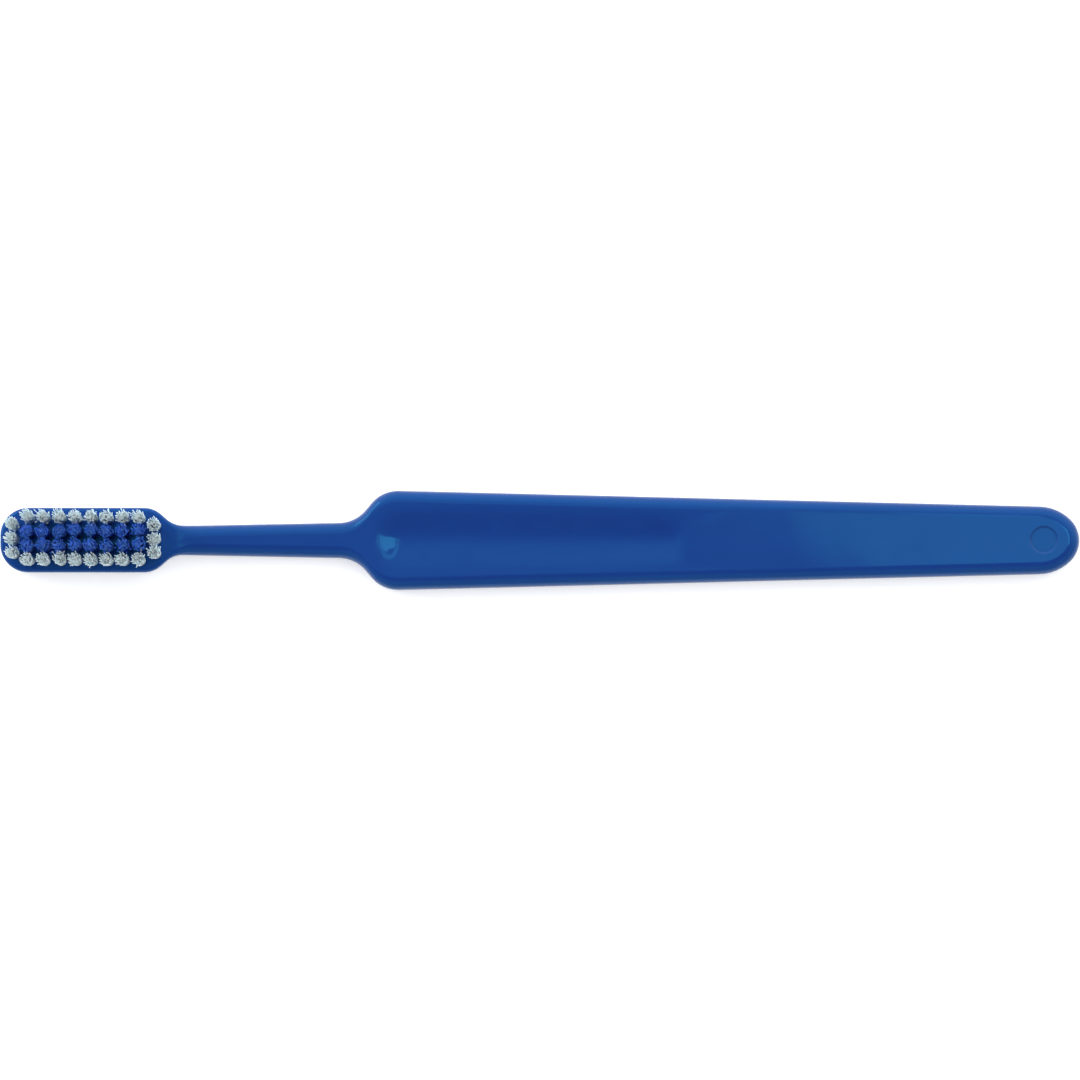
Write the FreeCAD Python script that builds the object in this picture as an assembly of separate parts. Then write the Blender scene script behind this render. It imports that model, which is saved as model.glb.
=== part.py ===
"""A manual toothbrush: one moulded handle, and tufts of nylon filament that metal anchors hold in the head.

The brush lies on its back, bristles up. X runs from the tip of the head to the end of the handle, Y across it
and Z up from the flat back of the handle. The origin is on that back, halfway along the brush.
"""

import FreeCAD, Part
import math
import os

# Driving dimensions, in millimetres and degrees

# Tufts and the blind holes that they stand in
tuft_columns = 8
hole_diameter = 1.8
hole_depth = 3.4
column_wall = 0.98
row_wall = 0.66
end_row_wall = 0.9
tuft_fit = 0.01
tuft_height = 10.6
tuft_tip_gap = 0.14
tuft_crown = 0.35
fold_radius = 0.6

# Anchors: short lengths of flat wire that cross the holes and bite into their walls
anchor_bite = 0.22
anchor_thickness = 0.28
anchor_height = 1.4
anchor_lift = 0.9
anchor_turn = 35.0

# Head
head_thickness = 4.8
head_back_lift = 0.5
head_edge_wall = 1.1
head_tip_wall = 1.7
head_corner_radius = 4.9
head_front_round = 0.7
head_back_round = 1.6

# Heel, where the head draws in to the neck
heel_outer_radius = 4.6
heel_inner_radius = 4.6
heel_flank = 42.0
heel_row_inset = 2.15
heel_hole_wall = 0.5

# Neck
neck_length = 27.42
neck_width_at_heel = 5.2
neck_width_at_shoulder = 6.24
neck_thickness = 4.4
neck_back_lift = 0.6
neck_round = 2.0

# Shoulder, where the neck widens to the paddle
shoulder_inner_radius = 6.0
shoulder_outer_radius = 6.4
shoulder_flank = 50.0

# Paddle: the flat tapered grip, and the radii of its round end as shares of its half width there
paddle_width = 17.54
paddle_end_width = 12.0
paddle_taper_length = 112.82
paddle_end_side_ratio = 1.333
paddle_end_tip_ratio = 0.867
paddle_thickness = 5.6
paddle_front_round = 2.1
paddle_back_round = 2.3

# Thumb rest: a shallow hollow in the front of the paddle
thumb_depth = 0.75
thumb_start_setback = 5.9
thumb_start_ramp = 7.0
thumb_length = 57.1
thumb_end_ramp = 4.0

# Round moulding mark near the end of the handle
mark_diameter = 5.0
mark_depth = 0.3
mark_draft = 0.35
mark_setback = 6.35

# Spacing of the sections that carry the skin of the neck, and the plain lengths at both of its ends
station_step = 1.0
skin_run_out = 8.0


def vector(x, y, z):
    return FreeCAD.Vector(x, y, z)


def line(start, end):
    return Part.LineSegment(start, end).toShape()


def arc(start, middle, end):
    return Part.Arc(start, middle, end).toShape()


def mix(low, high, share):
    return low + (high - low) * share


def smooth_share(x, start, end):
    """From 0 at the start to 1 at the end, level at both."""
    t = min(1.0, max(0.0, (x - start) / (end - start)))
    return t**3 * (10 - 15 * t + 6 * t**2)


def flank_reached(drop, first_radius, second_radius, flank):
    """The angle of the flank between two arcs, eased where the drop is too small for it."""
    arcs_alone = math.acos(max(-1.0, 1 - drop / (first_radius + second_radius)))
    return min(math.radians(flank), arcs_alone)


def step_length(drop, first_radius, second_radius, flank):
    """How long a step is that falls by an arc, a straight flank and a second arc."""
    angle = flank_reached(drop, first_radius, second_radius, flank)
    radii = first_radius + second_radius
    straight_drop = drop - radii * (1 - math.cos(angle))
    return radii * math.sin(angle) + straight_drop / math.tan(angle)


def step_share(distance, drop, first_radius, second_radius, flank):
    """The share of that step's drop which is made after a distance along it."""
    angle = flank_reached(drop, first_radius, second_radius, flank)
    length = step_length(drop, first_radius, second_radius, flank)
    first_run = first_radius * math.sin(angle)
    second_run = second_radius * math.sin(angle)
    if distance <= 0:
        return 0.0
    if distance >= length:
        return 1.0
    if distance < first_run:
        fallen = first_radius - math.sqrt(first_radius**2 - distance**2)
    elif distance < length - second_run:
        fallen = first_radius * (1 - math.cos(angle)) + (distance - first_run) * math.tan(angle)
    else:
        fallen = drop - second_radius + math.sqrt(second_radius**2 - (length - distance) ** 2)
    return fallen / drop


# Tuft layout, measured from the tip of the head and from the middle of its width
hole_radius = hole_diameter / 2
column_pitch = hole_diameter + column_wall
row_pitch = hole_diameter + row_wall
end_row_pitch = hole_diameter + end_row_wall
tip_row = head_tip_wall + hole_radius
first_column = tip_row + end_row_pitch
last_column = first_column + (tuft_columns - 1) * column_pitch
heel_row = last_column + end_row_pitch
inner_row = row_pitch / 2
edge_row = inner_row + row_pitch
tuft_tip_radius = (min(column_pitch, row_pitch) - tuft_tip_gap) / 2

# Half widths
head_half = edge_row + hole_radius + head_edge_wall
neck_half_at_heel = neck_width_at_heel / 2
neck_half_at_shoulder = neck_width_at_shoulder / 2
paddle_half = paddle_width / 2
paddle_end_half = paddle_end_width / 2

# Stations along the brush, measured from the tip of the head
heel_step = (head_half - neck_half_at_heel, heel_outer_radius, heel_inner_radius, heel_flank)
shoulder_drop = paddle_half - neck_half_at_shoulder
shoulder_step = (shoulder_drop, shoulder_inner_radius, shoulder_outer_radius, shoulder_flank)
heel_start = heel_row - heel_row_inset
heel_end = heel_start + step_length(*heel_step)
flat_front_end = heel_row + hole_radius + heel_hole_wall
shoulder_start = heel_end + neck_length
shoulder_end = shoulder_start + step_length(*shoulder_step)
thumb_start = shoulder_end - thumb_start_setback
thumb_end = thumb_start + thumb_length
skin_start = heel_start - skin_run_out
skin_end = thumb_end + skin_run_out
taper_end = shoulder_end + paddle_taper_length
taper_angle = math.atan2(paddle_half - paddle_end_half, paddle_taper_length)

# Round end of the paddle: the radii of its sides and tip, and where the centres of its sides lie
end_side_radius = paddle_end_side_ratio * paddle_end_half
end_tip_radius = paddle_end_tip_ratio * paddle_end_half
end_side_station = taper_end - end_side_radius * math.sin(taper_angle)
end_side_inset = end_side_radius * math.cos(taper_angle) - paddle_end_half
end_side_run = math.sqrt((end_side_radius - end_tip_radius) ** 2 - end_side_inset**2)
overall_length = end_side_station + end_side_run + end_tip_radius

# Heights above the flat back of the handle
head_front = head_back_lift + head_thickness
neck_front = neck_back_lift + neck_thickness
hole_floor = head_front - hole_depth
tuft_top = head_front + tuft_height
anchor_floor = hole_floor + anchor_lift


def along(station):
    """A station measured from the tip of the head, as an X of the model."""
    return station - overall_length / 2


def half_width(station):
    """Half the width of the handle in plan, from the sides of the head to where its end rounds off."""
    neck = mix(neck_half_at_heel, neck_half_at_shoulder, (station - heel_end) / neck_length)
    paddle = mix(paddle_half, paddle_end_half, (station - shoulder_end) / paddle_taper_length)
    width = mix(head_half, neck, step_share(station - heel_start, *heel_step))
    return mix(width, paddle, step_share(station - shoulder_start, *shoulder_step))


def blend(station, head_value, neck_value, paddle_value):
    """A size of the head, the neck or the paddle, or what lies smoothly between two of them."""
    to_neck = smooth_share(station, flat_front_end, heel_end + neck_half_at_heel)
    to_paddle = smooth_share(station, shoulder_start - neck_half_at_shoulder, shoulder_end)
    return mix(mix(head_value, neck_value, to_neck), paddle_value, to_paddle)


def thumb_depth_at(station):
    """How deep the thumb rest is in the middle of the paddle."""
    sinking = smooth_share(station, thumb_start, thumb_start + thumb_start_ramp)
    rising = smooth_share(station, thumb_end - thumb_end_ramp, thumb_end)
    return thumb_depth * sinking * (1 - rising)


def front_poles(x, half, level, depth):
    """The front edge of a section: level at both of its ends, and hollow between them."""
    # Three of the nine poles are sunk, and together they weigh 182/256 in the middle of the curve.
    pole_depth = depth * 256 / 182
    poles = []
    for number, sunk in enumerate([0, 0, 0, 1, 1, 1, 0, 0, 0]):
        poles.append(vector(x, mix(half, -half, number / 8), level - sunk * pole_depth))
    return poles


def section(station):
    """The outline of the handle across the brush, as the poles of its four straights and four round edges."""
    x = along(station)
    half = half_width(station)
    back = blend(station, head_back_lift, neck_back_lift, 0)
    front = blend(station, head_front, neck_front, paddle_thickness)
    limit = min(0.48 * (front - back), 0.9 * half)
    front_round = min(limit, blend(station, head_front_round, neck_round, paddle_front_round))
    back_round = min(limit, blend(station, head_back_round, neck_round, paddle_back_round))
    # The sides of the paddle taper, so its round edges are a little wider across the brush than they are high.
    slant = blend(station, 1, 1, 1 / math.cos(taper_angle))
    front_flat = half - front_round * slant
    back_flat = half - back_round * slant
    front_side = front - front_round
    back_side = back + back_round
    outline = []
    outline.append([vector(x, -back_flat, back), vector(x, back_flat, back)])
    outline.append([vector(x, back_flat, back), vector(x, half, back), vector(x, half, back_side)])
    outline.append([vector(x, half, back_side), vector(x, half, front_side)])
    outline.append([vector(x, half, front_side), vector(x, half, front), vector(x, front_flat, front)])
    outline.append(front_poles(x, front_flat, front, thumb_depth_at(station)))
    outline.append([vector(x, -front_flat, front), vector(x, -half, front), vector(x, -half, front_side)])
    outline.append([vector(x, -half, front_side), vector(x, -half, back_side)])
    outline.append([vector(x, -half, back_side), vector(x, -half, back), vector(x, -back_flat, back)])
    return outline


def skin_face(pole_rows, stations):
    """A smooth face through one straight, hollow or round edge of all the sections."""
    pole_count = len(pole_rows[0])
    degree = pole_count - 1
    # Three poles make a quarter of an ellipse, whose middle pole weighs less.
    weights = [1, math.sqrt(0.5), 1] if pole_count == 3 else [1] * pole_count
    poles = []
    for number in range(pole_count):
        run = Part.BSplineCurve()
        run.interpolate(Points=[row[number] for row in pole_rows], Parameters=stations)
        poles.append(run.getPoles())
    surface = Part.BSplineSurface()
    surface.buildFromPolesMultsKnots(
        poles,
        [pole_count, pole_count],
        run.getMultiplicities(),
        [0, 1],
        run.getKnots(),
        False,
        False,
        degree,
        run.Degree,
        [[weight] * len(poles[0]) for weight in weights],
    )
    return surface.toShape()


def lies_between(low, high, place):
    return abs(low - place) < 1e-6 and abs(high - place) < 1e-6


def rim_edges(plate, level, cut_station):
    """The edges of a plate at a height, but for the one where the rest of the handle carries on."""
    edges = []
    for edge in plate.Edges:
        box = edge.BoundBox
        at_level = lies_between(box.ZMin, box.ZMax, level)
        at_cut = lies_between(box.XMin, box.XMax, along(cut_station))
        if at_level and not at_cut:
            edges.append(edge)
    return edges


def rounded_plate(outline, back, thickness, cut_station, front_round, back_round):
    """A plate with its back and front edges rounded."""
    plate = Part.Face(outline).extrude(vector(0, 0, thickness))
    limit = 0.48 * thickness
    plate = plate.makeFillet(min(back_round, limit), rim_edges(plate, back, cut_station))
    front_edges = rim_edges(plate, back + thickness, cut_station)
    return plate.makeFillet(min(front_round, limit), front_edges)


def open_faces(plate, cut_station):
    """The faces of a plate, but for the flat end where the rest of the handle carries on."""
    faces = []
    for face in plate.Faces:
        box = face.BoundBox
        if not lies_between(box.XMin, box.XMax, along(cut_station)):
            faces.append(face)
    return faces


def head_plate():
    """The round-cornered head, from its tip to a little before the heel."""
    radius = min(head_corner_radius, 0.98 * head_half)
    bulge = radius * (1 - math.sqrt(0.5))
    flat = head_half - radius
    z = head_back_lift
    cut = along(skin_start)
    tip = along(0)
    corner = along(radius)

    def corner_arc(side):
        middle = vector(tip + bulge, side * (head_half - bulge), z)
        return arc(vector(corner, side * head_half, z), middle, vector(tip, side * flat, z))

    outline = Part.Wire(
        [
            line(vector(cut, -head_half, z), vector(corner, -head_half, z)),
            corner_arc(-1),
            line(vector(tip, -flat, z), vector(tip, flat, z)),
            corner_arc(1),
            line(vector(corner, head_half, z), vector(cut, head_half, z)),
            line(vector(cut, head_half, z), vector(cut, -head_half, z)),
        ]
    )
    return rounded_plate(outline, z, head_thickness, skin_start, head_front_round, head_back_round)


def round_end():
    """The end of the paddle in plan: two side arcs that carry on from the taper, and an arc round the tip."""
    start_turn = math.pi / 2 - taper_angle
    end_turn = math.atan2(end_side_inset, end_side_run)

    def side_point(side, turn):
        station = end_side_station + end_side_radius * math.cos(turn)
        return vector(along(station), side * (end_side_radius * math.sin(turn) - end_side_inset), 0)

    def side_points(side):
        middle_turn = (start_turn + end_turn) / 2
        return [side_point(side, turn) for turn in (start_turn, middle_turn, end_turn)]

    lower = side_points(-1)
    upper = side_points(1)
    tip = vector(along(overall_length), 0, 0)
    return [arc(*lower), arc(lower[-1], tip, upper[-1]), arc(*reversed(upper))]


def tail_plate():
    """The paddle behind the thumb rest, tapering to its round end."""
    half = half_width(skin_end)
    cut = along(skin_end)
    taper = along(taper_end)
    outline = Part.Wire(
        [
            line(vector(cut, -half, 0), vector(taper, -paddle_end_half, 0)),
            *round_end(),
            line(vector(taper, paddle_end_half, 0), vector(cut, half, 0)),
            line(vector(cut, half, 0), vector(cut, -half, 0)),
        ]
    )
    return rounded_plate(outline, 0, paddle_thickness, skin_end, paddle_front_round, paddle_back_round)


def middle_skin():
    """The heel, neck, shoulder and thumb rest, as smooth faces from the head to the rest of the paddle."""
    count = math.ceil((skin_end - skin_start) / station_step)
    stations = [mix(skin_start, skin_end, number / count) for number in range(count + 1)]
    sections = [section(station) for station in stations]
    faces = []
    for number in range(len(sections[0])):
        faces.append(skin_face([outline[number] for outline in sections], stations))
    return faces


def handle_blank():
    """The handle before its holes: a closed shell of the two plates and the skin between them."""
    head_faces = open_faces(head_plate(), skin_start)
    tail_faces = open_faces(tail_plate(), skin_end)
    return Part.Solid(Part.Shell(head_faces + middle_skin() + tail_faces))


def moulding_mark():
    """The shallow round recess near the end of the handle, with sloping sides."""
    floor_radius = mark_diameter / 2 - mark_draft
    floor = vector(along(overall_length - mark_setback), 0, paddle_thickness - mark_depth)
    # The cone carries on above the front so that it leaves no skin there.
    mouth_radius = mark_diameter / 2 + mark_draft
    return Part.makeCone(floor_radius, mouth_radius, 2 * mark_depth, floor)


def tuft_hole():
    """A blind hole, about its own axis."""
    return Part.makeCylinder(hole_radius, hole_depth + tuft_crown, vector(0, 0, hole_floor))


def anchor():
    """The flat wire across a hole, about the axis of the hole."""
    length = hole_diameter + 2 * anchor_bite
    corner = vector(-length / 2, -anchor_thickness / 2, anchor_floor)
    wire = Part.makeBox(length, anchor_thickness, anchor_height, corner)
    return wire.rotated(vector(0, 0, 0), vector(0, 0, 1), anchor_turn)


def tuft():
    """A folded tuft about its own axis: a round root in the hole, and a bundle that spreads to a crowned tip."""
    root = hole_radius - tuft_fit
    fold = min(fold_radius, 0.9 * root)
    bulge = fold * (1 - math.sqrt(0.5))
    tip = tuft_tip_radius
    crown_radius = (tip**2 + tuft_crown**2) / (2 * tuft_crown)
    crown_turn = math.asin(tip / crown_radius) / 2
    crown_middle = vector(
        crown_radius * math.sin(crown_turn), 0, tuft_top - crown_radius * (1 - math.cos(crown_turn))
    )
    floor = hole_floor + tuft_fit
    outline = Part.Wire(
        [
            line(vector(0, 0, floor), vector(root - fold, 0, floor)),
            arc(
                vector(root - fold, 0, floor),
                vector(root - bulge, 0, floor + bulge),
                vector(root, 0, floor + fold),
            ),
            line(vector(root, 0, floor + fold), vector(root, 0, head_front)),
            line(vector(root, 0, head_front), vector(tip, 0, tuft_top - tuft_crown)),
            arc(vector(tip, 0, tuft_top - tuft_crown), crown_middle, vector(0, 0, tuft_top)),
            line(vector(0, 0, tuft_top), vector(0, 0, floor)),
        ]
    )
    bundle = Part.Face(outline).revolve(vector(0, 0, 0), vector(0, 0, 1), 360)
    return bundle.cut(anchor())


def tuft_places():
    """The name of every tuft and where it stands; right and left are those of a head seen tip up."""
    places = {}
    rows = {
        "white_tuft_right": edge_row,
        "blue_tuft_right": inner_row,
        "blue_tuft_left": -inner_row,
        "white_tuft_left": -edge_row,
    }
    for name, y in rows.items():
        for column in range(tuft_columns):
            x = along(first_column + column * column_pitch)
            places[f"{name}_{column + 1}"] = vector(x, y, 0)
    for name, station in {"white_tuft_tip": tip_row, "white_tuft_heel": heel_row}.items():
        for number in range(3):
            places[f"{name}_{number + 1}"] = vector(along(station), (1 - number) * row_pitch, 0)
    return places


def handle(places):
    """The moulded handle with the holes of its tufts and the bites of their anchors."""
    hollows = [moulding_mark()]
    for place in places.values():
        hollows.append(tuft_hole().translated(place))
        hollows.append(anchor().translated(place))
    return handle_blank().cut(hollows)


def save(name, shape):
    shape.exportStep(f"parts/{name}.step")


os.makedirs("parts", exist_ok=True)
tuft_position = tuft_places()
save("handle", handle(tuft_position))
save("tuft_anchors", Part.makeCompound([anchor().translated(place) for place in tuft_position.values()]))
for tuft_name, tuft_place in tuft_position.items():
    save(tuft_name, tuft().translated(tuft_place))
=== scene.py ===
"""A manual toothbrush: a moulded blue handle and 38 tufts of folded nylon, each held by a flat wire anchor.

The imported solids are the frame. The handle and the anchors keep their solids and get their surfaces here,
and every tuft solid is drawn again as the filaments that it stands for.
"""

import math
import random

import bpy
from mathutils import Matrix, Vector


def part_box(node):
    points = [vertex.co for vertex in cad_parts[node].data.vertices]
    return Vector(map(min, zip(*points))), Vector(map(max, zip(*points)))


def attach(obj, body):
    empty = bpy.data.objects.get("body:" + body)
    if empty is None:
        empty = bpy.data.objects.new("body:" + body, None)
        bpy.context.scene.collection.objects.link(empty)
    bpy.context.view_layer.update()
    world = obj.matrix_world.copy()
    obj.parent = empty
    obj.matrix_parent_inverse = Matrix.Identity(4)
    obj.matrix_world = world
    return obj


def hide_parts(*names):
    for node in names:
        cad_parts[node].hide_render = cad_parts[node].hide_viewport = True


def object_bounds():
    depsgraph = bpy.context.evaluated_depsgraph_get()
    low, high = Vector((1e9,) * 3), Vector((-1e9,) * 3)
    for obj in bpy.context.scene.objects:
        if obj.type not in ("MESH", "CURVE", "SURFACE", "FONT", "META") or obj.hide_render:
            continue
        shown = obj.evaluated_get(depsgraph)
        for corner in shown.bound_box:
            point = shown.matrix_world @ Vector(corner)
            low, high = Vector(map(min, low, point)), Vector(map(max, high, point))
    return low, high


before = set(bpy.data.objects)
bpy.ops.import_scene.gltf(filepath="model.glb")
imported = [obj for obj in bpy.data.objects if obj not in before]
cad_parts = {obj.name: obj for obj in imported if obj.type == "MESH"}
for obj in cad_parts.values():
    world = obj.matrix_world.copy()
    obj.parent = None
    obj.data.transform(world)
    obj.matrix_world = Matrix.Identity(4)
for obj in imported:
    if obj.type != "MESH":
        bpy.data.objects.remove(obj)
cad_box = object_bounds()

bl_info = {
    "name": "Toothbrush parts",
    "version": (1, 0, 0),
    "blender": (4, 5, 0),
    "location": "3D View > Sidebar > Toothbrush",
    "description": "Draws the filaments and the surfaces of a manual toothbrush around its packed solids",
    "category": "Object",
}

MM = 0.001
TUFT_NODES = sorted(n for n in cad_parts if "_tuft_" in n)
ANCHOR_LOW, ANCHOR_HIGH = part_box("tuft_anchors")
HANDLE_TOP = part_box("handle")[1].z

# How finely a filament is drawn: steps along one leg and round the fold, and sides of its tube.
LEG_STEPS = 7
FOLD_STEPS = 8
TUBE_SIDES = 6

# How filaments differ: the least and the most share of the flare and of the stray reach, and how far a stray
# turns from straight outwards, in radians.
FLARE_SHARES = (0.2, 1.6)
STRAY_SHARES = (0.4, 1.0)
STRAY_TURN = 0.9

# Places of a colour mix node's sockets: its factor and two colours, and its colour among the outputs.
FACTOR, FIRST_COLOUR, SECOND_COLOUR, MIXED_COLOUR = 0, 6, 7, 2

# The studio's soft panels. Sizes and places are in metres, and a panel of radiance 1 is seen as white.
PANELS = (
    # Lights the head and its tufts from the left.
    {
        "name": "left_panel",
        "size": (0.9, 0.6),
        "place": (-0.9, 0.55, 0.6),
        "aim": (-0.05, 0, 0),
        "radiance": 3.2,
    },
    # Mirrored as the pale veil on the flat of the tail.
    {
        "name": "tail_panel",
        "size": (0.08, 0.52),
        "place": (0.175, 0.24, 1.4),
        "aim": (0.175, 0.24, 0),
        "radiance": 1.5,
    },
    # Slants the start of that veil.
    {
        "name": "tail_edge",
        "size": (0.03, 0.12),
        "place": (0.111, 0.07, 1.4),
        "aim": (0.111, 0.07, 0),
        "radiance": 1.5,
        "turn": math.radians(52),
    },
    # Mirrored as the small light spot where the thumb rest starts.
    {
        "name": "shoulder_panel",
        "size": (0.365, 0.32),
        "place": (0.4175, 0.14, 1.4),
        "aim": (0.4175, 0.14, 0),
        "radiance": 3.2,
    },
)


def linear(code):
    """Linear red, green and blue of an sRGB hex value."""
    shares = [int(code[i : i + 2], 16) / 255 for i in (0, 2, 4)]
    return tuple(c / 12.92 if c <= 0.04045 else ((c + 0.055) / 1.055) ** 2.4 for c in shares)


def length(name, description, millimetres):
    """A length that a user may change."""
    return bpy.props.FloatProperty(
        name=name, description=description, default=millimetres * MM, unit="LENGTH", precision=5
    )


def colour(name, description, code):
    """A colour that a user may change."""
    return bpy.props.FloatVectorProperty(
        name=name, description=description, default=linear(code), subtype="COLOR", size=3, min=0, max=1
    )


def share(name, description, default):
    """A share from none to all that a user may change."""
    return bpy.props.FloatProperty(
        name=name, description=description, default=default, subtype="FACTOR", min=0, max=1
    )


def angle(name, description, degrees):
    """An angle that a user may change."""
    return bpy.props.FloatProperty(
        name=name, description=description, default=math.radians(degrees), subtype="ANGLE"
    )


class HandleFinish(bpy.types.PropertyGroup):
    """Colours and gloss of the moulded handle."""

    deep: colour("Deep blue", "Colour where the pigment is dense", "173278")
    clear: colour("Clear blue", "Colour where the pigment is thin", "173882")
    gloss_tint: colour("Gloss tint", "Colour of the reflection that comes straight back", "50D8FF")
    roughness: share("Roughness", "How far the mould's polish blurs a reflection", 0.06)
    glow: share("Glow", "Share of light that wanders below the surface", 0.10)
    parting_height: length("Parting line height", "Height of the line where the mould halves met", 2.8)


class TuftShape(bpy.types.PropertyGroup):
    """Sizes of the filaments, how a tuft stands and frays, and its colours."""

    filament: length("Filament diameter", "Diameter of one nylon filament", 0.152)
    packing: length("Filament gap", "Clear gap between filaments in the hole", 0.002)
    hole: length("Hole diameter", "Diameter of the hole that a tuft is folded into", 1.8)
    face: length("Head face height", "Height of the face that the tufts stand on", 5.3)
    anchor_thickness: length("Anchor thickness", "Thickness of the wire that holds a tuft down", 0.28)
    anchor_turn: angle("Anchor turn", "How far the anchors stand turned from the head's length", 35.0)
    crown: length("Crown", "How much lower the rim of a trimmed tuft is than its middle", 0.25)
    trim: length("Trim scatter", "How unevenly the filaments are cut", 0.18)
    lean: length("Lean", "How far a whole tuft may stand off at its tip", 0.2)
    wander: length("Wander", "How far a filament's tip wanders from its place", 0.085)
    flare: length("Flare", "How far the outer filaments curl out at their tips", 0.07)
    curl_length: length("Curl length", "Length of a filament's end that curls", 3.0)
    stray_share: share("Strays", "Share of filament ends that stand away from their tuft", 0.05)
    stray: length("Stray reach", "How far a stray filament stands away", 0.7)
    seed: bpy.props.IntProperty(name="Seed", description="Start of the random draws", default=7)
    white: colour("White nylon", "Colour of the white filaments", "D3F3FF")
    white_tip: colour("White nylon tips", "Colour of the ground ends of the white filaments", "DCF6FF")
    blue: colour("Blue nylon", "Colour of the blue filaments", "2F62DA")
    blue_tip: colour("Blue nylon tips", "Colour of the ground ends of the blue filaments", "366CE0")


class AnchorFinish(bpy.types.PropertyGroup):
    """Colours of the flat wire that holds the tufts."""

    bright: colour("Bright brass", "Colour of the rolled face", "B09A66")
    dull: colour("Dull brass", "Colour between the rolling lines", "7D6A45")


class StudioSetup(bpy.types.PropertyGroup):
    """The floor and the camera."""

    floor: colour("Floor", "Colour of the pale floor", "F0F1F2")
    floor_lift: share("Floor lift", "Light that the eye sees in the floor itself", 0.45)
    floor_reach: length("Floor reach", "From the middle of the floor to its sides", 3000.0)
    floor_gap: length("Floor gap", "Clear gap between the floor and the brush", 0.05)
    distance: length("Camera distance", "From the camera to the middle of the brush", 1400.0)
    rise: angle("Camera elevation", "Angle of the camera above the floor", 87.6)
    focal_length: bpy.props.FloatProperty(
        name="Focal length",
        description="Focal length of the lens",
        default=264.8,
        subtype="DISTANCE_CAMERA",
    )
    drop: length("Frame drop", "How far the brush's middle sits below the middle of the picture", 0.09)


def add_node(tree, kind, fields=None, values=None, links=None):
    """Adds one node: fields are its own settings, values its inputs, and links feed inputs from others."""
    node = tree.nodes.new(kind)
    for name, value in (fields or {}).items():
        setattr(node, name, value)
    for socket, value in (values or {}).items():
        node.inputs[socket].default_value = value
    for socket, source in (links or {}).items():
        tree.links.new(source, node.inputs[socket])
    return node


def new_surface(name, **values):
    """A material with its shader and the values that are the same all over, before its pattern is drawn."""
    surface = bpy.data.materials.new(name)
    surface.use_nodes = True
    tree = surface.node_tree
    tree.nodes.clear()
    named = {key.replace("_", " "): value for key, value in values.items()}
    shader = add_node(tree, "ShaderNodeBsdfPrincipled", values=named)
    add_node(tree, "ShaderNodeOutputMaterial", links={"Surface": shader.outputs["BSDF"]})
    return surface, tree, shader


def opaque(rgb):
    """A colour with full cover."""
    return (*rgb, 1.0)


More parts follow.
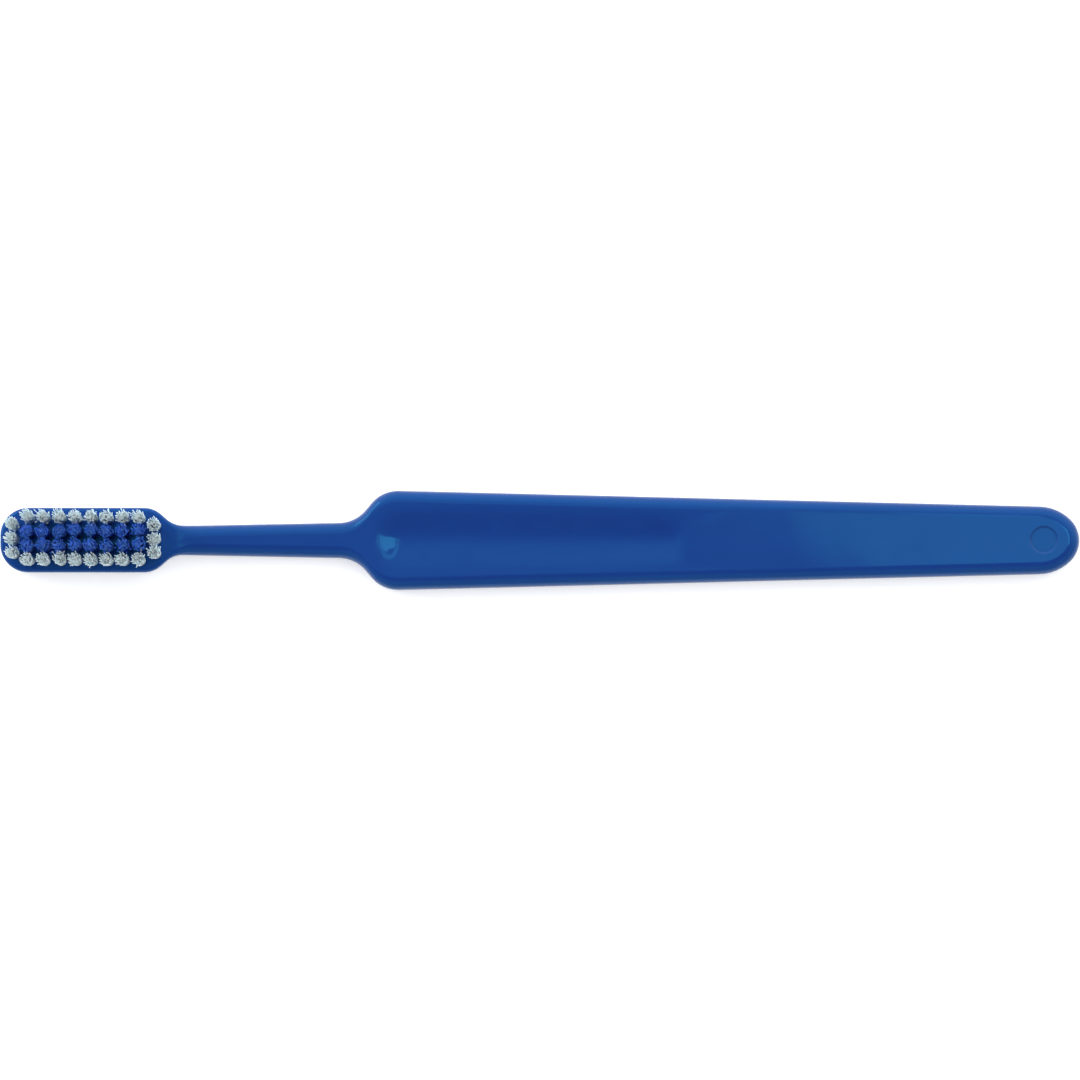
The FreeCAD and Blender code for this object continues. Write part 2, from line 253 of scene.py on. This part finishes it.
def moulded_polypropylene(finish):
    """Injection moulded polypropylene, coloured through.

    The eye gets a clear gloss with soft edges, faint streaks of pigment along the flow, a slow waviness where
    the thick middle sank as it cooled, a fine orange peel, and the thin line where the mould halves met.
    """
    surface, tree, shader = new_surface(
        "polypropylene_injection_moulded",
        IOR=1.49,
        Specular_Tint=opaque(finish.gloss_tint),
        Subsurface_Weight=finish.glow,
        Subsurface_Radius=(0.3, 0.7, 1.0),
        Subsurface_Scale=1.2 * MM,
    )
    place = add_node(tree, "ShaderNodeTexCoord").outputs["Object"]
    # Flow streaks are about 45 mm long and 5 mm across.
    stretched = add_node(
        tree,
        "ShaderNodeMapping",
        values={"Scale": (1 / (45 * MM), 1 / (5 * MM), 1 / (5 * MM))},
        links={"Vector": place},
    )
    flow = add_node(
        tree,
        "ShaderNodeTexNoise",
        values={"Scale": 1.0, "Detail": 3.0, "Roughness": 0.5},
        links={"Vector": stretched.outputs["Vector"]},
    )
    tint = add_node(
        tree,
        "ShaderNodeMix",
        fields={"data_type": "RGBA"},
        values={FIRST_COLOUR: opaque(finish.deep), SECOND_COLOUR: opaque(finish.clear)},
        links={FACTOR: flow.outputs["Fac"]},
    )
    tree.links.new(tint.outputs[MIXED_COLOUR], shader.inputs["Base Color"])
    # Handling leaves patches of finer and duller polish about 8 mm across.
    patches = add_node(
        tree,
        "ShaderNodeTexNoise",
        values={"Scale": 1 / (8 * MM), "Detail": 4.0, "Roughness": 0.6},
        links={"Vector": place},
    )
    polish = add_node(
        tree,
        "ShaderNodeMapRange",
        values={
            "From Min": 0.3,
            "From Max": 0.7,
            "To Min": finish.roughness - 0.02,
            "To Max": finish.roughness + 0.02,
        },
        links={"Value": patches.outputs["Fac"]},
    )
    tree.links.new(polish.outputs["Result"], shader.inputs["Roughness"])
    # Sink waves are about 14 mm long and about a hundredth of a millimetre deep.
    sink = add_node(
        tree, "ShaderNodeTexNoise", values={"Scale": 1 / (14 * MM), "Detail": 1.0}, links={"Vector": place}
    )
    waves = add_node(
        tree,
        "ShaderNodeBump",
        values={"Strength": 1.0, "Distance": 0.03 * MM},
        links={"Height": sink.outputs["Fac"]},
    )
    # Orange peel is about 0.3 mm wide on the part, and is drawn at 0.8 mm so that it shows.
    peel = add_node(
        tree, "ShaderNodeTexNoise", values={"Scale": 1 / (0.8 * MM), "Detail": 2.0}, links={"Vector": place}
    )
    grain = add_node(
        tree,
        "ShaderNodeBump",
        values={"Strength": 1.0, "Distance": 0.002 * MM},
        links={"Height": peel.outputs["Fac"], "Normal": waves.outputs["Normal"]},
    )
    # The parting line is a ridge under 0.1 mm wide, drawn 0.24 mm wide so that it shows.
    height = add_node(tree, "ShaderNodeSeparateXYZ", links={"Vector": place}).outputs["Z"]
    away = add_node(
        tree,
        "ShaderNodeMath",
        fields={"operation": "SUBTRACT"},
        values={1: finish.parting_height},
        links={0: height},
    )
    off = add_node(tree, "ShaderNodeMath", fields={"operation": "ABSOLUTE"}, links={0: away.outputs[0]})
    ridge = add_node(
        tree,
        "ShaderNodeMapRange",
        fields={"interpolation_type": "SMOOTHSTEP"},
        values={"From Min": 0.0, "From Max": 0.12 * MM, "To Min": 1.0, "To Max": 0.0},
        links={"Value": off.outputs[0]},
    )
    parting = add_node(
        tree,
        "ShaderNodeBump",
        values={"Strength": 1.0, "Distance": 0.03 * MM},
        links={"Height": ridge.outputs["Result"], "Normal": grain.outputs["Normal"]},
    )
    tree.links.new(parting.outputs["Normal"], shader.inputs["Normal"])
    return surface


def drawn_nylon(name, body, tip):
    """Nylon monofilament, drawn and end rounded.

    The eye gets a satin shaft that lets some light through, a slightly different tone on each filament, and
    milky ends where grinding roughened them.
    """
    surface, tree, shader = new_surface(
        name, IOR=1.53, Subsurface_Weight=1.0, Subsurface_Radius=(1.0, 1.0, 1.0), Subsurface_Scale=0.5 * MM
    )
    place = add_node(tree, "ShaderNodeTexCoord").outputs["Object"]
    height = add_node(tree, "ShaderNodeSeparateXYZ", links={"Vector": place}).outputs["Z"]
    # Grinding fades in over 2 mm and is full on the last 0.5 mm below the tallest tip.
    ground = add_node(
        tree,
        "ShaderNodeMapRange",
        fields={"interpolation_type": "SMOOTHSTEP"},
        values={
            "From Min": cad_box[1].z - 2.5 * MM,
            "From Max": cad_box[1].z - 0.5 * MM,
            "To Min": 0.0,
            "To Max": 1.0,
        },
        links={"Value": height},
    )
    tone = add_node(
        tree,
        "ShaderNodeMix",
        fields={"data_type": "RGBA"},
        values={FIRST_COLOUR: opaque(body), SECOND_COLOUR: opaque(tip)},
        links={FACTOR: ground.outputs["Result"]},
    )
    # Each filament takes up the dye a little differently.
    each = add_node(tree, "ShaderNodeNewGeometry").outputs["Random Per Island"]
    dye = add_node(
        tree, "ShaderNodeMapRange", values={"To Min": 0.9, "To Max": 1.04}, links={"Value": each}
    )
    shade = add_node(
        tree,
        "ShaderNodeHueSaturation",
        links={"Color": tone.outputs[MIXED_COLOUR], "Value": dye.outputs["Result"]},
    )
    tree.links.new(shade.outputs["Color"], shader.inputs["Base Color"])
    # Drawing leaves faint marks about 0.6 mm long.
    marks = add_node(
        tree,
        "ShaderNodeTexNoise",
        values={"Scale": 1 / (0.6 * MM), "Detail": 2.0},
        links={"Vector": place},
    )
    satin = add_node(
        tree,
        "ShaderNodeMapRange",
        values={"From Min": 0.3, "From Max": 0.7, "To Min": 0.3, "To Max": 0.5},
        links={"Value": marks.outputs["Fac"]},
    )
    tree.links.new(satin.outputs["Result"], shader.inputs["Roughness"])
    return surface


def rolled_brass(finish, turn):
    """Flat brass wire, rolled and cut.

    The eye gets a warm metal with fine lines along the rolling direction and a slight tarnish between them.
    """
    surface, tree, shader = new_surface("brass_rolled_flat_wire", Metallic=1.0)
    place = add_node(tree, "ShaderNodeTexCoord").outputs["Object"]
    turned = add_node(
        tree,
        "ShaderNodeMapping",
        fields={"vector_type": "TEXTURE"},
        values={"Rotation": (0.0, 0.0, turn)},
        links={"Vector": place},
    )
    # Rolling lines are about 0.03 mm apart, drawn 0.12 mm apart so that they show.
    lines = add_node(
        tree,
        "ShaderNodeMapping",
        values={"Scale": (1 / (3 * MM), 1 / (0.12 * MM), 1 / (0.12 * MM))},
        links={"Vector": turned.outputs["Vector"]},
    )
    rolling = add_node(
        tree,
        "ShaderNodeTexNoise",
        values={"Scale": 1.0, "Detail": 3.0},
        links={"Vector": lines.outputs["Vector"]},
    )
    tarnish = add_node(
        tree,
        "ShaderNodeMix",
        fields={"data_type": "RGBA"},
        values={FIRST_COLOUR: opaque(finish.dull), SECOND_COLOUR: opaque(finish.bright)},
        links={FACTOR: rolling.outputs["Fac"]},
    )
    tree.links.new(tarnish.outputs[MIXED_COLOUR], shader.inputs["Base Color"])
    satin = add_node(
        tree,
        "ShaderNodeMapRange",
        values={"To Min": 0.42, "To Max": 0.24},
        links={"Value": rolling.outputs["Fac"]},
    )
    tree.links.new(satin.outputs["Result"], shader.inputs["Roughness"])
    grooves = add_node(
        tree,
        "ShaderNodeBump",
        values={"Strength": 1.0, "Distance": 0.004 * MM},
        links={"Height": rolling.outputs["Fac"]},
    )
    tree.links.new(grooves.outputs["Normal"], shader.inputs["Normal"])
    return surface


def pale_paper(setup):
    """Seamless studio paper: matt and even, seen as white while it still takes the brush's shadow."""
    surface, tree, shader = new_surface(
        "paper_seamless_matt",
        Base_Color=opaque(setup.floor),
        Roughness=0.9,
        Emission_Color=opaque((1.0, 1.0, 1.0)),
    )
    # The lift is seen straight, in reflections and through clear things, and lights nothing.
    rays = add_node(tree, "ShaderNodeLightPath").outputs
    mirrored = add_node(
        tree,
        "ShaderNodeMath",
        fields={"operation": "ADD"},
        links={0: rays["Is Glossy Ray"], 1: rays["Is Transmission Ray"]},
    )
    seen = add_node(
        tree,
        "ShaderNodeMath",
        fields={"operation": "ADD", "use_clamp": True},
        links={0: rays["Is Camera Ray"], 1: mirrored.outputs[0]},
    )
    lift = add_node(
        tree,
        "ShaderNodeMath",
        fields={"operation": "MULTIPLY"},
        values={1: setup.floor_lift},
        links={0: seen.outputs[0]},
    )
    tree.links.new(lift.outputs[0], shader.inputs["Emission Strength"])
    return surface


def light_tent():
    """The light of a white tent: bright walls, brightest behind the brush, and dimmer cloth overhead."""
    world = bpy.data.worlds.new("light_tent")
    world.use_nodes = True
    tree = world.node_tree
    tree.nodes.clear()
    way = add_node(tree, "ShaderNodeTexCoord").outputs["Generated"]
    parts = add_node(tree, "ShaderNodeSeparateXYZ", links={"Vector": way}).outputs
    # The cloth brightens from the front, where the brush's lower edge faces, to the back.
    back = add_node(
        tree,
        "ShaderNodeMapRange",
        fields={"interpolation_type": "SMOOTHSTEP"},
        values={"From Min": -0.35, "From Max": 0.47, "To Min": 0.19, "To Max": 1.13},
        links={"Value": parts["Y"]},
    )
    # The walls all round add to it and fade out overhead.
    walls = add_node(
        tree,
        "ShaderNodeMapRange",
        fields={"interpolation_type": "SMOOTHSTEP"},
        values={"From Min": 0.66, "From Max": 0.92, "To Min": 0.7, "To Max": 0.0},
        links={"Value": parts["Z"]},
    )
    level = add_node(
        tree,
        "ShaderNodeMath",
        fields={"operation": "ADD"},
        links={0: back.outputs["Result"], 1: walls.outputs["Result"]},
    )
    tent = add_node(
        tree,
        "ShaderNodeBackground",
        values={"Color": opaque((1.0, 1.0, 1.0))},
        links={"Strength": level.outputs[0]},
    )
    add_node(tree, "ShaderNodeOutputWorld", links={"Surface": tent.outputs[0]})
    return world


def packed_places(shape):
    """Filament places in one half of a hole, packed from the anchor outwards, in the anchor's own axes."""
    pitch = shape.filament + shape.packing
    reach = shape.hole / 2 - shape.filament / 2 - shape.packing
    places = []
    layer = 0
    across = shape.anchor_thickness / 2 + shape.filament / 2 + shape.packing
    while across <= reach:
        half = math.sqrt(reach**2 - across**2)
        shift = pitch / 2 if layer % 2 else 0.0
        count = math.floor((half - shift) / pitch)
        steps = range(-count - (1 if shift else 0), count + 1)
        places += [(step * pitch + shift, across) for step in steps]
        across += pitch * math.sqrt(0.75)
        layer += 1
    return places


def leg(along, across, tuft, shape, draw):
    """Points of one half of a filament, from its ground end down past the head's face to the anchor."""
    reach = shape.hole / 2 - shape.filament / 2 - shape.packing
    # Above the anchor the two halves close up and fill the round hole to its rim: a filament keeps its share
    # of the way to the rim, which starts at the anchor's face below and at the hole's middle above.
    start = shape.anchor_thickness / 2
    closed = math.copysign(reach * (abs(across) - start) / (reach - start), across)
    half_below = math.sqrt(reach**2 - across**2)
    half_above = math.sqrt(reach**2 - closed**2)
    home = Vector((along * half_above / half_below, closed))
    if home.length > reach:
        home *= reach / home.length
    outward = home.normalized() if home.length > 0 else Vector((1.0, 0.0))
    # The core stays dense, and the rim spreads to the tuft's width and curls out.
    rim = min(1.0, home.length / reach)
    spread = home * (1 + ((tuft["tip_radius"] - shape.filament / 2) / reach - 1) * rim**2)
    tip = spread + tuft["lean"] + Vector((draw.gauss(0, 1), draw.gauss(0, 1))) * shape.wander
    curl = outward * shape.flare * rim**2 * draw.uniform(*FLARE_SHARES)
    if draw.random() < shape.stray_share:
        stray = Matrix.Rotation(draw.uniform(-STRAY_TURN, STRAY_TURN), 2) @ outward
        curl += stray * shape.stray * draw.uniform(*STRAY_SHARES)
    # A filament that curls away reaches less high.
    dip = curl.length**2 / (2 * shape.curl_length)
    top = tuft["top"] - shape.crown * rim**2 - draw.uniform(0, shape.trim) - dip
    points = []
    for step in range(LEG_STEPS + 1):
        up = 1 - step / LEG_STEPS
        level = home + (tip - home) * up + curl * up**3
        points.append(Vector((level.x, level.y, shape.face + (top - shape.face) * up)))
    points.append(Vector((along, across, ANCHOR_HIGH.z)))
    return points


def hairpin(along, across, tuft, shape, draw):
    """Centre line of one filament: down one side of the anchor, round under it and up the other side."""
    down = leg(along, across, tuft, shape, draw)
    up = leg(along, -across, tuft, shape, draw)
    fold = []
    for step in range(FOLD_STEPS + 1):
        turn = math.pi * step / FOLD_STEPS
        drop = ANCHOR_LOW.z - across * math.sin(turn)
        fold.append(Vector((along, across * math.cos(turn), drop)))
    return down + fold + up[::-1]


def tube(line, radius, vertices, faces):
    """Adds a round filament along a line, with rounded ends and no twist."""
    runs = [(b - a).normalized() for a, b in zip(line, line[1:])]
    ways = [runs[0]] + [(a + b).normalized() for a, b in zip(runs, runs[1:])] + [runs[-1]]
    # Each end is rounded by one ring half way round its quarter circle.
    narrow = radius * math.sqrt(0.5)
    rings = [(line[0] + ways[0] * (radius - narrow), ways[0], narrow)]
    rings.append((line[0] + ways[0] * radius, ways[0], radius))
    rings += [(point, way, radius) for point, way in zip(line[1:-1], ways[1:-1])]
    rings.append((line[-1] - ways[-1] * radius, ways[-1], radius))
    rings.append((line[-1] - ways[-1] * (radius - narrow), ways[-1], narrow))
    first = len(vertices)
    vertices.append(line[0])
    side = ways[0].orthogonal().normalized()
    before = ways[0]
    for centre, way, reach in rings:
        side = before.rotation_difference(way) @ side
        side = (side - way * side.dot(way)).normalized()
        other = way.cross(side)
        before = way
        for corner in range(TUBE_SIDES):
            turn = 2 * math.pi * corner / TUBE_SIDES
            vertices.append(centre + (side * math.cos(turn) + other * math.sin(turn)) * reach)
    vertices.append(line[-1])
    last = len(vertices) - 1
    end = last - TUBE_SIDES
    for corner in range(TUBE_SIDES):
        following = (corner + 1) % TUBE_SIDES
        faces.append((first, first + 1 + following, first + 1 + corner))
        for low in range(first + 1, end, TUBE_SIDES):
            high = low + TUBE_SIDES
            faces.append((low + corner, low + following, high + following, high + corner))
        faces.append((last, end + corner, end + following))


def draw_tuft(node, surface, shape):
    """Draws the filaments of one tuft where its solid stands, and lets them stand for it."""
    low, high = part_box(node)
    draw = random.Random(f"{shape.seed} {node}")
    middle = (low + high) / 2
    tuft = {
        "top": high.z,
        "tip_radius": (high.x - low.x) / 2,
        "lean": Vector((draw.gauss(0, 1), draw.gauss(0, 1))) * shape.lean / 2,
    }
    vertices, faces = [], []
    for along, across in packed_places(shape):
        tube(hairpin(along, across, tuft, shape, draw), shape.filament / 2, vertices, faces)
    mesh = bpy.data.meshes.new(node + "_filaments")
    mesh.from_pydata(vertices, [], faces)
    place = Matrix.Translation((middle.x, middle.y, 0)) @ Matrix.Rotation(shape.anchor_turn, 4, "Z")
    mesh.transform(place)
    mesh.polygons.foreach_set("use_smooth", [True] * len(mesh.polygons))
    if mesh.validate():
        raise RuntimeError(f"the filaments of {node} have faulty faces")
    mesh.materials.append(surface)
    piece = bpy.data.objects.new(node + "_filaments", mesh)
    bpy.context.scene.collection.objects.link(piece)
    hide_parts(node)
    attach(piece, "root")


def dress(node, surface):
    """Gives a carried solid its surface."""
    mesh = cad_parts[node].data
    mesh.materials.clear()
    mesh.materials.append(surface)


def soft_lamp(name, size, place, aim, radiance, turn=0.0):
    """A flat soft lamp of a given brightness, facing its aim."""
    lamp = bpy.data.lights.new(name, "AREA")
    lamp.shape = "RECTANGLE"
    lamp.size, lamp.size_y = size
    lamp.energy = radiance * math.pi * size[0] * size[1]
    stand = bpy.data.objects.new(name, lamp)
    facing = (Vector(aim) - Vector(place)).to_track_quat("-Z", "Y").to_matrix().to_4x4()
    stand.matrix_world = Matrix.Translation(place) @ facing @ Matrix.Rotation(turn, 4, "Z")
    bpy.context.scene.collection.objects.link(stand)


def paper_floor(setup):
    """A flat sheet of paper just below the brush."""
    level = cad_box[0].z - setup.floor_gap
    signs = ((-1, -1), (1, -1), (1, 1), (-1, 1))
    corners = [(x * setup.floor_reach, y * setup.floor_reach, level) for x, y in signs]
    paper = bpy.data.meshes.new("floor")
    paper.from_pydata(corners, [], [(0, 1, 2, 3)])
    paper.materials.append(pale_paper(setup))
    floor = bpy.data.objects.new("floor", paper)
    bpy.context.scene.collection.objects.link(floor)


def overhead_camera(setup):
    """The camera, almost straight above the brush."""
    lens = bpy.data.cameras.new("camera")
    lens.lens = setup.focal_length
    camera = bpy.data.objects.new("camera", lens)
    tilt = math.pi / 2 - setup.rise
    aim = Vector((0.0, setup.drop, (cad_box[0].z + HANDLE_TOP) / 2))
    camera.location = aim + Vector((0.0, -math.sin(tilt), math.cos(tilt))) * setup.distance
    camera.rotation_euler = (tilt, 0.0, 0.0)
    bpy.context.scene.collection.objects.link(camera)
    return camera


class TOOTHBRUSH_OT_handle(bpy.types.Operator):
    """Gives the handle its moulded plastic surface"""

    bl_idname = "toothbrush.handle"
    bl_label = "Finish handle"

    def execute(self, context):
        dress("handle", moulded_polypropylene(context.scene.toothbrush_handle))
        return {"FINISHED"}


class TOOTHBRUSH_OT_anchors(bpy.types.Operator):
    """Gives the tuft anchors their rolled wire surface"""

    bl_idname = "toothbrush.anchors"
    bl_label = "Finish anchors"

    def execute(self, context):
        scene = context.scene
        dress("tuft_anchors", rolled_brass(scene.toothbrush_anchors, scene.toothbrush_tufts.anchor_turn))
        return {"FINISHED"}


class TOOTHBRUSH_OT_white_tufts(bpy.types.Operator):
    """Draws the white tufts of the rim as folded filaments"""

    bl_idname = "toothbrush.white_tufts"
    bl_label = "Draw white tufts"

    def execute(self, context):
        shape = context.scene.toothbrush_tufts
        surface = drawn_nylon("nylon_monofilament_white", shape.white, shape.white_tip)
        for node in TUFT_NODES:
            if node.startswith("white_"):
                draw_tuft(node, surface, shape)
        return {"FINISHED"}


class TOOTHBRUSH_OT_blue_tufts(bpy.types.Operator):
    """Draws the blue tufts of the middle rows as folded filaments"""

    bl_idname = "toothbrush.blue_tufts"
    bl_label = "Draw blue tufts"

    def execute(self, context):
        shape = context.scene.toothbrush_tufts
        surface = drawn_nylon("nylon_monofilament_blue", shape.blue, shape.blue_tip)
        for node in TUFT_NODES:
            if node.startswith("blue_"):
                draw_tuft(node, surface, shape)
        return {"FINISHED"}


class TOOTHBRUSH_OT_studio(bpy.types.Operator):
    """Sets up the floor, the light and the camera"""

    bl_idname = "toothbrush.studio"
    bl_label = "Set up studio"

    def execute(self, context):
        scene = context.scene
        setup = scene.toothbrush_studio
        scene.view_settings.view_transform = "Standard"
        paper_floor(setup)
        scene.world = light_tent()
        for panel in PANELS:
            soft_lamp(**panel)
        scene.camera = overhead_camera(setup)
        return {"FINISHED"}


# Each row is one box of the panel: where its settings are kept, their class, and the operators using them.
PARTS = (
    ("toothbrush_handle", HandleFinish, ("toothbrush.handle",)),
    ("toothbrush_anchors", AnchorFinish, ("toothbrush.anchors",)),
    ("toothbrush_tufts", TuftShape, ("toothbrush.white_tufts", "toothbrush.blue_tufts")),
    ("toothbrush_studio", StudioSetup, ("toothbrush.studio",)),
)


class TOOTHBRUSH_PT_parts(bpy.types.Panel):
    """Lists the parts of the brush and what a user may change."""

    bl_idname = "TOOTHBRUSH_PT_parts"
    bl_label = "Toothbrush"
    bl_space_type = "VIEW_3D"
    bl_region_type = "UI"
    bl_category = "Toothbrush"

    def draw(self, context):
        for group, _, operators in PARTS:
            box = self.layout.box()
            for operator in operators:
                box.operator(operator)
            settings = getattr(context.scene, group)
            for name in settings.bl_rna.properties.keys():
                if name not in ("rna_type", "name"):
                    box.prop(settings, name)


CLASSES = (
    HandleFinish,
    TuftShape,
    AnchorFinish,
    StudioSetup,
    TOOTHBRUSH_OT_handle,
    TOOTHBRUSH_OT_anchors,
    TOOTHBRUSH_OT_white_tufts,
    TOOTHBRUSH_OT_blue_tufts,
    TOOTHBRUSH_OT_studio,
    TOOTHBRUSH_PT_parts,
)


def register():
    """Adds the classes and the settings to the scene."""
    for cls in CLASSES:
        bpy.utils.register_class(cls)
    for group, settings, _ in PARTS:
        setattr(bpy.types.Scene, group, bpy.props.PointerProperty(type=settings))


def unregister():
    """Takes the settings and the classes away again."""
    for group, _, _ in PARTS:
        delattr(bpy.types.Scene, group)
    for cls in reversed(CLASSES):
        bpy.utils.unregister_class(cls)


def main():
    """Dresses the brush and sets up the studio."""
    register()
    for _, _, operators in PARTS:
        for operator in operators:
            family, name = operator.split(".")
            getattr(getattr(bpy.ops, family), name)()


if __name__ == "__main__":
    main()
